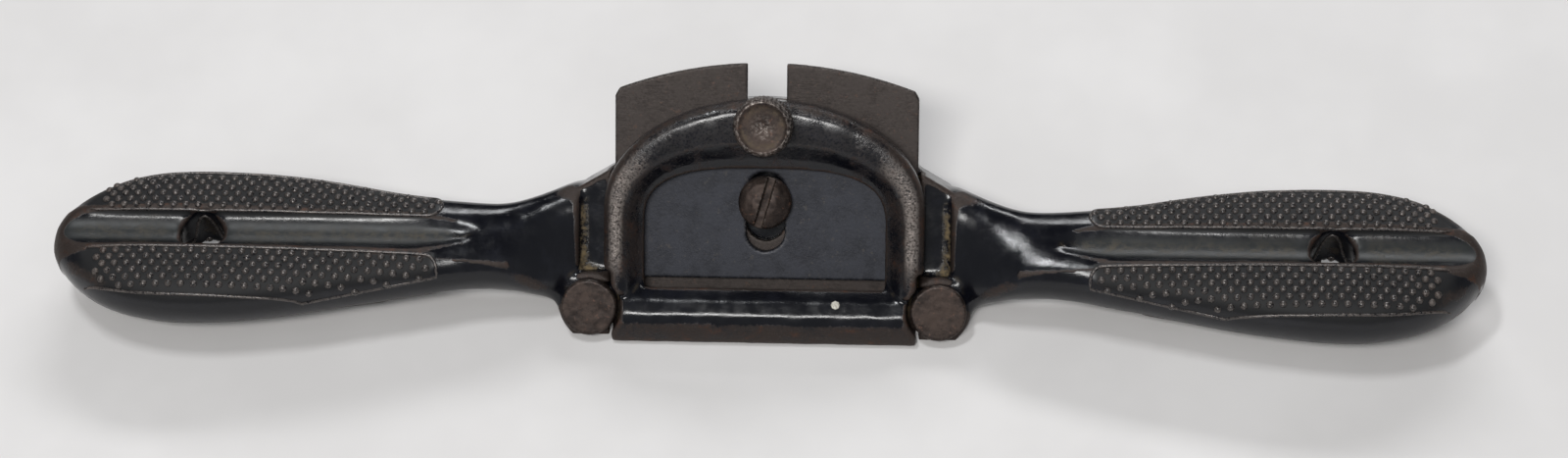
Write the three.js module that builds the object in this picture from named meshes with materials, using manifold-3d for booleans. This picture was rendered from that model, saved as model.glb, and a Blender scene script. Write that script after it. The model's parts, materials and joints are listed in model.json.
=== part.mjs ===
// Adjustable-mouth metal spokeshave with straight, chequered handles.
//
// Frame: millimetres, +X along the handles, -Y towards the toe (the way the tool is pushed),
// +Z up from the flat sole, with the origin in the middle of the sole behind the mouth (the heel).
// The tool stands on its sole.
//
// The pieces are laid out from the line where the bed for the cutter meets the sole, and the
// whole is moved back to the heel at the end. Most of the middle of the tool is laid out in the
// "bed frame", which is turned about X by the bed angle: x as before, s up along the cutter,
// t out of the cutter's face towards the user.
import * as THREE from "three";
import { mergeVertices } from "three/addons/utils/BufferGeometryUtils.js";
import Module from "manifold-3d";

const wasm = await Module();
wasm.setup();

// ---------------------------------------------------------------- driving dimensions
const overallLength = 254;
const tip = overallLength / 2;
const palm = tip - 27; // where the handle is broadest and has its hanging hole
const bedAngle = THREE.MathUtils.degToRad(45);
const gap = 0.3; // between pieces that touch
const sunk = 10; // how far pieces start below the sole, before it is cut flat

const cutterWidth = 54;
const cutterThickness = 1.7;
const capThickness = 2.1;
const capBack = 2 * gap + cutterThickness; // t
const capFront = capBack + capThickness; // t

const archTop = 36.1; // s
const archWidth = cutterWidth + 2.8;
const archBack = capFront + 1.2; // t of the rear of the legs
const crownRise = 1; // how much further out the crown stands than the legs
const archDepth = 5;
const archFoot = 1; // s where the legs run into the toe
const windowWidth = archWidth - 14.2;
const windowTop = archTop - 12.5;
const windowShoulder = windowTop - 10.6;
const archShoulder = windowShoulder + 3.7; // s where the legs turn into the crown

const cutterTop = archTop + 5.6; // s at the middle of the curved top edge
const cutterCrown = 5; // how far the corners drop below that
const cutterSlotWidth = 7;
const bevelLength = 3;

const thumbscrewPlace = archTop - 4.1; // s

const capWidth = cutterWidth - 3;
const capLow = 3.4;
const capHigh = thumbscrewPlace - 4.8; // clear of the spring
const capSlotWidth = 6.9;
const capSlotLow = 8.4;
const capSlotHigh = capHigh - 4.6;
const capCorner = 6;

const capScrewPlace = capSlotHigh - 5.2; // s, inside the slot
const cutterSlotEnd = capScrewPlace - 7.4; // s of its lower end
const capScrewHeadRadius = 4.75;
const capScrewHeadHeight = 3.1;
const capScrewRadius = 2;
const capScrewSlotWidth = 1.5;
const capScrewSlotDepth = 1.4;
const capScrewSlotTurn = THREE.MathUtils.degToRad(74);

const bedThickness = 5;
const bedHighest = archTop - 0.9; // s at the top of the plate behind the cutter
const bedShoulder = 14; // s where its sides turn into its round top
const sideClearance = 0.4; // between the cutter and the cheeks
const cheekFace = archBack - 1.1; // t
const cheekOuter = cutterWidth / 2 + 6; // x
const cheekHigh = 19.6; // s of its upper edge at the handle
const cheekRise = 4.4; // how much higher that edge is beside the cutter
const heelDepth = 12.5;
const heelHeight = 5.5;

const toeFront = 11.3; // how far the toe reaches in front of the bed line
const toeHeight = 7;
const mouth = 1.2; // gap in the sole in front of the cutting edge
const throatLean = 0.6; // how far the toe's rear face leans over the mouth

const hingeUp = 0.5; // s of the trunnion axis
const hingeOut = cheekFace + 0.5; // t of the trunnion axis
const trunnionRadius = 1.9;
const trunnionLength = 1.8;

const retainerHeadRadius = 5;
const lugRadius = retainerHeadRadius + 1;
const lugFace = cheekFace + 2.5; // t
const retainerPlace = cutterWidth / 2 + 4; // x
const retainerUp = -1.4; // s
const retainerHeadHeight = 2.1;
const retainerShankRadius = 1.45;
const retainerShankLength = 3.6; // short, so that it stays above the sole
const headClearance = 0.7;

const knobRadius = 5.3;
const knobFaceRadius = 4.6;
const knobHeight = 4;
const knurls = 40;
const knurlDepth = 0.22;
const thumbscrewRadius = 1.6;
const thumbscrewReach = 4.6; // how far it passes behind the bed
const crownHoleRadius = thumbscrewRadius + 0.6;
const bedHoleRadius = thumbscrewRadius + 0.7;

const springRadius = cutterSlotWidth / 2 - 1.05; // it stands in the cutter's notch
const springWire = 0.6;
const springTurns = 4;

const hangingHoleRadius = 3.5; // at the upper face
const hangingHoleFlare = 1.4; // how much wider it is at the lower face
const grooveHalfWidth = 3.6;
const grooveDepth = 2.6;
const underGrooveDepth = 4.2;
const grooveOuter = overallLength / 2 + 1; // it runs out through the rounded tip
const grooveInner = cheekOuter + 15;
const grooveShift = 0.4; // how far the channel and the hole lie behind the middle

// Sections of one handle, from the cheek out to the tip: distance from the middle, half width,
// half thickness, the centre's y and z, and how far the section is turned, in degrees.
const neck = cheekOuter + 21;
const towardsPalm = (share) => THREE.MathUtils.lerp(neck, palm, share);
const handleSections = [
  { x: cheekOuter - 5.4, wide: 10.2, thick: 5.5, y: 6, z: 6.8, turn: 45 },
  { x: cheekOuter + 0.5, wide: 10.6, thick: 5.5, y: 6.1, z: 7.1, turn: 45 },
  { x: cheekOuter + 6.6, wide: 9.3, thick: 5.2, y: 3.5, z: 8.9, turn: 28 },
  { x: cheekOuter + 13, wide: 7.7, thick: 4.9, y: 2.2, z: 10.2, turn: 12 },
  { x: neck, wide: 8.2, thick: 5, y: 1.8, z: 10.6, turn: 4 },
  { x: towardsPalm(0.22), wide: 9.8, thick: 5.4, y: 1.3, z: 10.6, turn: 0 },
  { x: towardsPalm(0.46), wide: 12, thick: 5.8, y: 1.2, z: 10.6, turn: 0 },
  { x: towardsPalm(0.72), wide: 14, thick: 6.2, y: 0.9, z: 10.6, turn: 0 },
  { x: palm, wide: 14.9, thick: 6.4, y: 0.5, z: 10.6, turn: 0 },
  { x: tip - 18, wide: 14.3, thick: 6.3, y: 0.4, z: 10.6, turn: 0 },
  { x: tip - 10, wide: 11.9, thick: 5.9, y: 0.4, z: 10.6, turn: 0 },
  { x: tip - 4, wide: 7.8, thick: 4.9, y: 0.4, z: 10.6, turn: 0 },
  { x: tip - 0.8, wide: 3.6, thick: 2.9, y: 0.4, z: 10.6, turn: 0 },
  { x: tip, wide: 1, thick: 0.9, y: 0.4, z: 10.6, turn: 0 },
];
const palmSection = handleSections.find((section) => section.x === palm);
const handleSquareness = 3.6; // exponent of the superellipse: 2 is an ellipse
const handlePoints = 24; // round one section

// ---------------------------------------------------------------- tools for solids
function solidOf(geometry) {
  const plain = geometry.index ? geometry.toNonIndexed() : geometry;
  const bare = new THREE.BufferGeometry();
  bare.setAttribute("position", plain.getAttribute("position"));
  const merged = mergeVertices(bare, 1e-4);
  return new wasm.Manifold(
    new wasm.Mesh({
      numProp: 3,
      vertProperties: new Float32Array(merged.attributes.position.array),
      triVerts: new Uint32Array(merged.index.array),
    }),
  );
}

function geometryOf(solid) {
  const made = solid.getMesh();
  const geometry = new THREE.BufferGeometry();
  geometry.setAttribute("position", new THREE.BufferAttribute(made.vertProperties, 3));
  geometry.setIndex(new THREE.BufferAttribute(made.triVerts, 1));
  return geometry;
}

const joined = (solids) => solids.reduce((whole, piece) => whole.add(piece));

// A box from its lowest corner to its highest.
function boxBetween(low, high) {
  const size = high.map((v, i) => v - low[i]);
  const geometry = new THREE.BoxGeometry(...size);
  geometry.translate(...low.map((v, i) => v + size[i] / 2));
  return geometry;
}

// A cylinder along the local third axis, from t = low to t = high.
function postBetween(x, s, radius, low, high, sides = 40) {
  const geometry = new THREE.CylinderGeometry(radius, radius, high - low, sides);
  geometry.rotateX(Math.PI / 2);
  geometry.translate(x, s, (low + high) / 2);
  return geometry;
}

// A solid through rings of points that all have the same count, closed by flat ends.
function loft(rings) {
  const count = rings[0].length;
  const corners = [];
  const quad = (a, b, c, d) => corners.push(a, b, c, a, c, d);
  for (let i = 0; i + 1 < rings.length; i++) {
    for (let j = 0; j < count; j++) {
      const next = (j + 1) % count;
      quad(rings[i][j], rings[i][next], rings[i + 1][next], rings[i + 1][j]);
    }
  }
  const close = (ring, flip) => {
    const outline = ring.map((p) => p.clone());
    const middle = outline.reduce((sum, p) => sum.add(p), new THREE.Vector3());
    middle.divideScalar(count);
    for (let j = 0; j < count; j++) {
      const a = ring[j];
      const b = ring[(j + 1) % count];
      corners.push(middle, flip ? b : a, flip ? a : b);
    }
  };
  close(rings[0], true);
  close(rings[rings.length - 1], false);
  const geometry = new THREE.BufferGeometry().setFromPoints(corners);
  const solid = solidOf(geometry);
  if (solid.volume() > 0) return solid;
  for (let i = 0; i < corners.length; i += 3) {
    [corners[i + 1], corners[i + 2]] = [corners[i + 2], corners[i + 1]];
  }
  return solidOf(new THREE.BufferGeometry().setFromPoints(corners));
}

// An outline in the bed frame's x and s, extruded from t = low to t = high.
function plate(shape, low, high, curveSegments = 24) {
  const geometry = new THREE.ExtrudeGeometry(shape, {
    depth: high - low,
    bevelEnabled: false,
    curveSegments,
  });
  geometry.translate(0, 0, low);
  return geometry;
}

// A profile in y and z, extruded along X from -halfLength to +halfLength.
function bar(points, halfLength) {
  const shape = new THREE.Shape(points.map(([y, z]) => new THREE.Vector2(y, z)));
  const geometry = new THREE.ExtrudeGeometry(shape, {
    depth: 2 * halfLength,
    bevelEnabled: false,
  });
  geometry.translate(0, 0, -halfLength);
  // The profile's own x becomes Y, its y becomes Z, and the extrusion runs along X.
  geometry.applyMatrix4(
    new THREE.Matrix4().makeBasis(
      new THREE.Vector3(0, 1, 0),
      new THREE.Vector3(0, 0, 1),
      new THREE.Vector3(1, 0, 0),
    ),
  );
  return geometry;
}

const intoBed = new THREE.Matrix4().makeRotationX(bedAngle);
const outOfBed = new THREE.Matrix4().makeRotationX(-bedAngle);

// A solid built in the bed frame, in the tool's own frame; and the other way round.
const fromBed = (geometry) => solidOf(geometry.clone().applyMatrix4(intoBed));
const toBed = (solid) => solidOf(geometryOf(solid).applyMatrix4(outOfBed));

const belowSole = solidOf(boxBetween([-200, -80, -60], [200, 80, 0]));
const bothSides = [-1, 1];
const far = 60; // longer than any cut needs

// ---------------------------------------------------------------- main casting
function superellipse(wide, thick, exponent, count) {
  const power = 2 / exponent;
  return Array.from({ length: count }, (_, i) => {
    const angle = (2 * Math.PI * (i + 0.5)) / count;
    const c = Math.cos(angle);
    const s = Math.sin(angle);
    return [
      wide * Math.sign(c) * Math.abs(c) ** power,
      thick * Math.sign(s) * Math.abs(s) ** power,
    ];
  });
}

function handle(side) {
  const through = (pick) =>
    new THREE.CatmullRomCurve3(
      handleSections.map((section) => new THREE.Vector3(...pick(section))),
      false,
      "catmullrom",
      0.5,
    );
  const sizes = through((q) => [q.x, q.wide, q.thick]);
  const centres = through((q) => [q.y, q.z, q.turn]);
  const steps = 3 * (handleSections.length - 1);
  const rings = [];
  for (let i = 0; i <= steps; i++) {
    const size = sizes.getPoint(i / steps);
    const centre = centres.getPoint(i / steps);
    const turn = THREE.MathUtils.degToRad(centre.z);
    const outline = superellipse(size.y, size.z, handleSquareness, handlePoints);
    rings.push(
      outline.map(
        ([across, up]) =>
          new THREE.Vector3(
            side * size.x,
            centre.x + across * Math.cos(turn) - up * Math.sin(turn),
            centre.y + across * Math.sin(turn) + up * Math.cos(turn),
          ),
      ),
    );
  }
  return loft(rings);
}

// The long channel down the middle of a handle's upper or lower face. It narrows towards the
// neck, where it has a round end, and its floor is round.
function handleGroove(side, face) {
  const floor = palmSection.thick - (face > 0 ? grooveDepth : underGrooveDepth);
  const steps = 18;
  const rings = [];
  for (let i = 0; i <= steps; i++) {
    // Closer together near the neck, where the width changes most.
    const share = (i / steps) ** 1.6;
    const x = THREE.MathUtils.lerp(grooveInner, grooveOuter, share);
    const taper = 0.62 + 0.38 * Math.min(1, share * 6);
    const opening = taper * Math.min(1, Math.sqrt(share * 14) + 0.15);
    const half = grooveHalfWidth * opening;
    const lift = (1 - opening) * 1.6;
    const across = [-1, -0.75, -0.4, 0, 0.4, 0.75, 1];
    const bowl = across.map((a) => [a * half, floor + lift + 1.4 * a * a]);
    const outline = [...bowl, [half, 12], [-half, 12]];
    rings.push(
      outline.map(
        ([y, z]) =>
          new THREE.Vector3(side * x, palmSection.y + grooveShift + y, palmSection.z + face * z),
      ),
    );
  }
  return loft(rings);
}

function bedPlateShape() {
  const shape = new THREE.Shape();
  const half = cheekOuter - 3;
  const rise = bedHighest - bedShoulder;
  shape.moveTo(-half, -sunk);
  shape.lineTo(half, -sunk);
  shape.lineTo(half, bedShoulder);
  const crown = new THREE.EllipseCurve(0, bedShoulder, half, rise, 0, Math.PI);
  crown.getPoints(40).forEach((p) => shape.lineTo(p.x, p.y));
  shape.closePath();
  return shape;
}

function bodyCasting() {
  const back = -bedThickness;
  const pocketHalf = cutterWidth / 2 + sideClearance;
  const pieces = bothSides.map(handle);
  pieces.push(fromBed(plate(bedPlateShape(), back, 0)));
  const heel = [
    [-1, -1],
    [heelDepth, -1],
    [heelDepth + 0.8, 1.4],
    [heelDepth + 0.2, 3.4],
    [heelDepth - 1.6, heelHeight],
    [4, heelHeight],
  ];
  pieces.push(solidOf(bar(heel, cheekOuter)));
  for (const side of bothSides) {
    const inner = side * (pocketHalf - 2);
    const outer = side * cheekOuter;
    const cheek = new THREE.Shape([
      new THREE.Vector2(inner, -sunk),
      new THREE.Vector2(outer, -sunk),
      new THREE.Vector2(outer, cheekHigh),
      new THREE.Vector2(inner, cheekHigh + cheekRise),
    ]);
    pieces.push(fromBed(plate(cheek, back, cheekFace)));
    const lug = [side * retainerPlace, retainerUp, lugRadius, back, lugFace];
    pieces.push(fromBed(postBetween(...lug, 48)));
    // The lug runs straight down to the sole under its round front.
    const foot = side * (retainerPlace - 1);
    const footLow = [foot - lugRadius + 1.4, -sunk, back];
    const footHigh = [foot + lugRadius - 1.4, retainerUp, lugFace];
    pieces.push(fromBed(boxBetween(footLow, footHigh)));
  }
  const cuts = [belowSole];
  cuts.push(fromBed(boxBetween([-pocketHalf, -far, 0], [pocketHalf, far, far])));
  cuts.push(fromBed(postBetween(0, capScrewPlace, capScrewRadius + gap, -far, far, 32)));
  cuts.push(fromBed(postBetween(0, thumbscrewPlace, bedHoleRadius, -far, far, 32)));
  for (const side of bothSides) {
    // The sunken strip of the cheek, between the arch and the rim where the handle starts.
    const stripEnds = [side * (pocketHalf - 1), side * cheekOuter];
    const stripLow = [Math.min(...stripEnds), retainerUp + lugRadius, cheekFace];
    const stripHigh = [Math.max(...stripEnds), far, far];
    cuts.push(fromBed(boxBetween(stripLow, stripHigh)));
    const shank = [side * retainerPlace, retainerUp, retainerShankRadius + gap];
    const shankEnd = lugFace - retainerShankLength - gap;
    cuts.push(fromBed(postBetween(...shank, shankEnd, far, 32)));
    // The half-round seat for the toe's trunnion, open towards the user.
    const seatRadius = trunnionRadius + gap;
    const seat = new THREE.CylinderGeometry(seatRadius, seatRadius, trunnionLength + 1, 36);
    seat.rotateZ(Math.PI / 2);
    const seatMiddle = pocketHalf + (trunnionLength - 1) / 2;
    seat.translate(side * seatMiddle, hingeUp, hingeOut);
    cuts.push(fromBed(seat));
    const ends = [side * (pocketHalf - 1), side * (pocketHalf + trunnionLength)];
    const slotLow = [Math.min(...ends), hingeUp - seatRadius, hingeOut];
    const slotHigh = [Math.max(...ends), hingeUp + seatRadius, far];
    cuts.push(fromBed(boxBetween(slotLow, slotHigh)));
    const lowRadius = hangingHoleRadius + hangingHoleFlare;
    const deep = 2 * palmSection.thick;
    const hole = new THREE.CylinderGeometry(hangingHoleRadius, lowRadius, deep, 40);
    hole.rotateX(Math.PI / 2);
    hole.translate(side * palm, palmSection.y + grooveShift, palmSection.z);
    cuts.push(solidOf(hole));
    cuts.push(handleGroove(side, 1), handleGroove(side, -1));
  }
  return cuts.reduce((whole, cut) => whole.subtract(cut), joined(pieces));
}

// ---------------------------------------------------------------- toe section: toe and arch
// One section of the arch at an angle round it: 0 is the right-hand side, pi the left.
function archSection(angle, s = null) {
  const c = Math.cos(angle);
  const up = Math.sin(angle);
  const square = 2 / 3;
  const outer = new THREE.Vector2(
    (archWidth / 2) * c,
    s ?? archShoulder + (archTop - archShoulder) * up,
  );
  const inner = new THREE.Vector2(
    (windowWidth / 2) * Math.sign(c) * Math.abs(c) ** square,
    s ?? windowShoulder + (windowTop - windowShoulder) * Math.abs(up) ** square,
  );
  const back = archBack + crownRise * up;
  const front = back + archDepth;
  const round = 1 - 0.75 * up; // the legs' fronts are rounder than the crown's
  const outline = [
    [0, back],
    [0, front - 1.6],
    [0.05, front - 0.5 - 0.4 * round],
    [0.16, front - 0.25 * round],
    [0.3, front],
    [0.46, front - 0.2 * round],
    [0.6, front - 0.3 - 0.7 * round],
    [0.86, back + 1.6],
    [1, back + 0.9],
    [1, back],
  ];
  return outline.map(([share, t]) => {
    const place = outer.clone().lerp(inner, share);
    return new THREE.Vector3(place.x, place.y, t);
  });
}

function toeSection() {
  const half = cutterWidth / 2 + sideClearance - gap;
  const rings = [];
  const footSteps = 3;
  const legs = (angle, order) =>
    order.map((i) => archSection(angle, archFoot + (i / footSteps) * (windowShoulder - archFoot)));
  rings.push(...legs(0, [0, 1, 2]));
  const steps = 56;
  for (let i = 0; i <= steps; i++) {
    rings.push(archSection((Math.PI * i) / steps));
  }
  rings.push(...legs(Math.PI, [2, 1, 0]));
  const arch = loft(rings);
  const edge = Math.SQRT2 * (gap + cutterThickness);
  const rear = edge + mouth;
  const toe = [
    [-rear, 0],
    [-rear + throatLean, toeHeight],
    [-rear - 2.6, toeHeight],
    [-toeFront + 2.3, toeHeight - 1.1],
    [-toeFront + 1.1, toeHeight - 2.4],
    [-toeFront + 0.35, toeHeight - 4.2],
    [-toeFront, 1],
    [-toeFront + 0.25, 0.25],
    [-toeFront + 0.9, 0],
  ];
  const whole = toBed(solidOf(bar(toe, half))).add(arch);
  const cuts = [postBetween(0, thumbscrewPlace, crownHoleRadius, 0, far, 32)];
  for (const side of bothSides) {
    const clear = retainerHeadRadius + headClearance;
    cuts.push(postBetween(side * retainerPlace, retainerUp, clear, lugFace - 0.6, far, 48));
    // The foot is no wider than the toe, so it passes inside the lug.
    const ends = [side * half, side * far];
    const footLow = [Math.min(...ends), -far, 0];
    const footHigh = [Math.max(...ends), retainerUp + lugRadius + 0.9, far];
    cuts.push(boxBetween(footLow, footHigh));
  }
  const trimmed = cuts.reduce((left, cut) => left.subtract(solidOf(cut)), whole);
  const trunnions = bothSides.map((side) => {
    const length = trunnionLength - gap + 3;
    const pin = new THREE.CylinderGeometry(trunnionRadius, trunnionRadius, length, 36);
    pin.rotateZ(Math.PI / 2);
    pin.translate(side * (half + trunnionLength - length / 2), hingeUp, hingeOut);
    return solidOf(pin);
  });
  return joined([trimmed, ...trunnions]);
}

// ---------------------------------------------------------------- cutter and cap iron
function cutter() {
  const half = cutterWidth / 2;
  const slot = cutterSlotWidth / 2;
  const low = -(gap + cutterThickness); // s of the cutting edge, on the sole
  const radius = (half * half + cutterCrown * cutterCrown) / (2 * cutterCrown);
  const topAt = (x) => cutterTop - radius + Math.sqrt(radius * radius - x * x);
  const shape = new THREE.Shape();
  shape.moveTo(-half, low);
  shape.lineTo(half, low);
  shape.lineTo(half, topAt(half) - 1);
  const arcSteps = 12;
  for (let i = 0; i <= arcSteps; i++) {
    const x = THREE.MathUtils.lerp(half - 0.7, slot, i / arcSteps);
    shape.lineTo(x, topAt(x));
  }
  shape.lineTo(slot, cutterSlotEnd + slot);
  shape.absarc(0, cutterSlotEnd + slot, slot, 0, -Math.PI, true);
  for (let i = 0; i <= arcSteps; i++) {
    const x = THREE.MathUtils.lerp(-slot, -half + 0.7, i / arcSteps);
    shape.lineTo(x, topAt(x));
  }
  shape.lineTo(-half, topAt(half) - 1);
  shape.closePath();
  const blank = solidOf(plate(shape, gap, gap + cutterThickness));
  // The bevel is ground on the side that lies on the bed.
  const wedge = new THREE.Shape([
    new THREE.Vector2(low - 2, gap - 1),
    new THREE.Vector2(low + bevelLength, gap - 1),
    new THREE.Vector2(low + bevelLength, gap),
    new THREE.Vector2(low, gap + cutterThickness - 0.06),
    new THREE.Vector2(low - 2, gap + cutterThickness - 0.06),
  ]);
  const ground = new THREE.ExtrudeGeometry(wedge, { depth: 2 * half + 4, bevelEnabled: false });
  ground.translate(0, 0, -half - 2);
  ground.applyMatrix4(
    new THREE.Matrix4().makeBasis(
      new THREE.Vector3(0, 1, 0),
      new THREE.Vector3(0, 0, 1),
      new THREE.Vector3(1, 0, 0),
    ),
  );
  return blank.subtract(solidOf(ground));
}

function capIron() {
  const half = capWidth / 2;
  const slot = capSlotWidth / 2;
  const shape = new THREE.Shape();
  shape.moveTo(-half, capLow);
  shape.lineTo(half, capLow);
  shape.lineTo(half, capHigh - capCorner);
  shape.absarc(half - capCorner, capHigh - capCorner, capCorner, 0, Math.PI / 2, false);
  shape.lineTo(-half + capCorner, capHigh);
  shape.absarc(-half + capCorner, capHigh - capCorner, capCorner, Math.PI / 2, Math.PI, false);
  shape.closePath();
  const window = new THREE.Path();
  window.absarc(0, capSlotLow + slot, slot, Math.PI, 2 * Math.PI, false);
  window.absarc(0, capSlotHigh - slot, slot, 0, Math.PI, false);
  window.closePath();
  shape.holes.push(window);
  return solidOf(plate(shape, capBack, capFront, 16));
}

// ---------------------------------------------------------------- screws and spring
function capScrew() {
  const seat = capFront + gap;
  const top = seat + capScrewHeadHeight;
  const r = capScrewHeadRadius;
  const end = -bedThickness + 0.5;
  const profile = [
    [0, end],
    [capScrewRadius - 0.4, end],
    [capScrewRadius, end + 0.4],
    [capScrewRadius, seat],
    [r - 0.3, seat],
    [r, seat + 0.3],
    [r, seat + 1.3],
    [r * 0.93, seat + 1.9],
    [r * 0.75, seat + 2.5],
    [r * 0.45, top - 0.15],
    [0, top],
  ];
  const turned = new THREE.LatheGeometry(
    profile.map(([radius, t]) => new THREE.Vector2(radius, t)),
    40,
  );
  turned.rotateX(Math.PI / 2);
  const slotHalf = capScrewSlotWidth / 2;
  const slotLow = [-far, -slotHalf, top - capScrewSlotDepth - 0.3];
  const slotCut = boxBetween(slotLow, [far, slotHalf, far]);
  slotCut.rotateZ(capScrewSlotTurn);
  return solidOf(turned).subtract(solidOf(slotCut));
}

function retainingScrew() {
  const r = retainerHeadRadius;
  const seat = lugFace + gap;
  const top = seat + retainerHeadHeight;
  const end = lugFace - retainerShankLength;
  const profile = [
    [0, end],
    [retainerShankRadius - 0.4, end],
    [retainerShankRadius, end + 0.4],
    [retainerShankRadius, seat],
    [r, seat],
    [r, top - 0.35],
    [r - 0.35, top],
    [0, top],
  ];
  const turned = new THREE.LatheGeometry(
    profile.map(([radius, t]) => new THREE.Vector2(radius, t)),
    48,
  );
  return turned.rotateX(Math.PI / 2);
}

const crownFront = archBack + crownRise + archDepth;

function thumbscrew() {
  const seat = crownFront + gap;
  const shape = new THREE.Shape();
  const points = 2 * knurls;
  for (let i = 0; i < points; i++) {
    const angle = (2 * Math.PI * i) / points;
    const radius = knobRadius - (i % 2 ? knurlDepth : 0);
    const place = [radius * Math.cos(angle), radius * Math.sin(angle)];
    if (i === 0) shape.moveTo(...place);
    else shape.lineTo(...place);
  }
  shape.closePath();
  const knurled = solidOf(plate(shape, seat, seat + knobHeight));
  const envelope = [
    [0, seat - 1],
    [knobRadius - 0.6, seat - 0.01],
    [knobRadius + 0.01, seat + 0.6],
    [knobRadius + 0.01, seat + knobHeight - 1.4],
    [knobFaceRadius, seat + knobHeight - 0.4],
    [knobFaceRadius - 0.4, seat + knobHeight - 0.01],
    [knobFaceRadius - 0.9, seat + knobHeight - 0.25],
    [0, seat + knobHeight - 0.25],
  ];
  const turned = new THREE.LatheGeometry(
    envelope.map(([radius, t]) => new THREE.Vector2(radius, t)),
    48,
  );
  turned.rotateX(Math.PI / 2);
  const shank = postBetween(0, 0, thumbscrewRadius, -thumbscrewReach, seat + 1, 32);
  return knurled.intersect(solidOf(turned)).add(solidOf(shank));
}

function mouthSpring() {
  const low = gap + springWire / 2;
  const high = archBack + crownRise - gap - springWire / 2;
  class Coil extends THREE.Curve {
    getPoint(u, target = new THREE.Vector3()) {
      const angle = 2 * Math.PI * springTurns * u;
      const x = springRadius * Math.cos(angle);
      const s = springRadius * Math.sin(angle);
      return target.set(x, s, THREE.MathUtils.lerp(low, high, u));
    }
  }
  const wire = new THREE.Shape();
  wire.absarc(0, 0, springWire / 2, 0, 2 * Math.PI, false);
  return new THREE.ExtrudeGeometry(wire, {
    steps: 14 * springTurns,
    curveSegments: 4,
    extrudePath: new Coil(),
  });
}

// ---------------------------------------------------------------- the assembly
const finishes = {
  japan: new THREE.MeshStandardMaterial({ color: 0x14151a, roughness: 0.35, metalness: 0.2 }),
  toe: new THREE.MeshStandardMaterial({ color: 0x2c2624, roughness: 0.5, metalness: 0.5 }),
  blade: new THREE.MeshStandardMaterial({ color: 0x4b423f, roughness: 0.55, metalness: 0.8 }),
  cap: new THREE.MeshStandardMaterial({ color: 0x2b2d33, roughness: 0.5, metalness: 0.6 }),
  screw: new THREE.MeshStandardMaterial({ color: 0x4a3a36, roughness: 0.5, metalness: 0.7 }),
  spring: new THREE.MeshStandardMaterial({ color: 0x55504c, roughness: 0.4, metalness: 0.9 }),
};

function named(name, solidOrGeometry, material) {
  const geometry = solidOrGeometry.isBufferGeometry
    ? solidOrGeometry
    : geometryOf(solidOrGeometry);
  const mesh = new THREE.Mesh(geometry, material);
  mesh.name = name;
  return mesh;
}

const tool = new THREE.Group();
tool.position.y = -heelDepth / 2;
tool.add(named("body_casting", bodyCasting(), finishes.japan));

const bed = new THREE.Group();
bed.rotation.x = bedAngle;
tool.add(bed);
bed.add(named("toe_section", toeSection(), finishes.toe));
bed.add(named("cutter", cutter(), finishes.blade));
bed.add(named("cap_iron", capIron(), finishes.cap));

const capScrewMesh = named("cap_screw", capScrew(), finishes.screw);
capScrewMesh.position.set(0, capScrewPlace, 0);
bed.add(capScrewMesh);

const thumbscrewMesh = named("mouth_thumbscrew", thumbscrew(), finishes.screw);
thumbscrewMesh.position.set(0, thumbscrewPlace, 0);
bed.add(thumbscrewMesh);

const springMesh = named("mouth_spring", mouthSpring(), finishes.spring);
springMesh.position.set(0, thumbscrewPlace, 0);
bed.add(springMesh);

for (const side of bothSides) {
  const name = side < 0 ? "left_retaining_screw" : "right_retaining_screw";
  const screw = named(name, retainingScrew(), finishes.screw);
  screw.position.set(side * retainerPlace, retainerUp, 0);
  bed.add(screw);
}

const spokeshave = new THREE.Group();
spokeshave.add(tool);

export default spokeshave;
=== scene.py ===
"""Looks for the metal spokeshave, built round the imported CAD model. Metres, +Z up from the sole."""

import json
import math
import random

import bpy
import numpy as np
from mathutils import Matrix, Vector, noise
from mathutils.bvhtree import BVHTree


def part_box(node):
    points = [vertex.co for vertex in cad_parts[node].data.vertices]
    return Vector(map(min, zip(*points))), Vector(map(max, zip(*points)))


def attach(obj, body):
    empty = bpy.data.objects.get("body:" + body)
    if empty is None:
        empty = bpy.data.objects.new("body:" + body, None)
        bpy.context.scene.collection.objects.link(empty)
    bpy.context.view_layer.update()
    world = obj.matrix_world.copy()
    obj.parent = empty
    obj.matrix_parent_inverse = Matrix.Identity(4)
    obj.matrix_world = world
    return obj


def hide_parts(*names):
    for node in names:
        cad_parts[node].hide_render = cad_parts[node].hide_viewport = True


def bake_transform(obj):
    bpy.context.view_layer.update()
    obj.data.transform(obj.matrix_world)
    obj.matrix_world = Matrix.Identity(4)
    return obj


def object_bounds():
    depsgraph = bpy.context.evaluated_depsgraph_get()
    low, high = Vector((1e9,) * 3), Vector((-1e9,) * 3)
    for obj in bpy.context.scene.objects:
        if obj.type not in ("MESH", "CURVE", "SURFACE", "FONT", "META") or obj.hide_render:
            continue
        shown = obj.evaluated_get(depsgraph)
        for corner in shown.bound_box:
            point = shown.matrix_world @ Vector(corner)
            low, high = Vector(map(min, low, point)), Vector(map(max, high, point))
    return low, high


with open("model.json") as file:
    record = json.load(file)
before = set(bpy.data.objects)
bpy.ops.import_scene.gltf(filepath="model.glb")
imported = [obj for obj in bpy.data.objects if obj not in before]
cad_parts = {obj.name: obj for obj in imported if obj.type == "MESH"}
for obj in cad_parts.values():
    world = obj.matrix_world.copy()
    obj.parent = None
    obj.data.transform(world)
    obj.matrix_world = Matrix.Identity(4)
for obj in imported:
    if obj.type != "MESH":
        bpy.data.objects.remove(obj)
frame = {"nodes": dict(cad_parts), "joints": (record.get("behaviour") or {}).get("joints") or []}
cad_low, cad_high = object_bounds()
nodes = frame["nodes"]
joints = {joint["name"]: joint for joint in frame["joints"]}
random.seed(7)

MM = 0.001
SIDES = (-1, 1)

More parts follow.
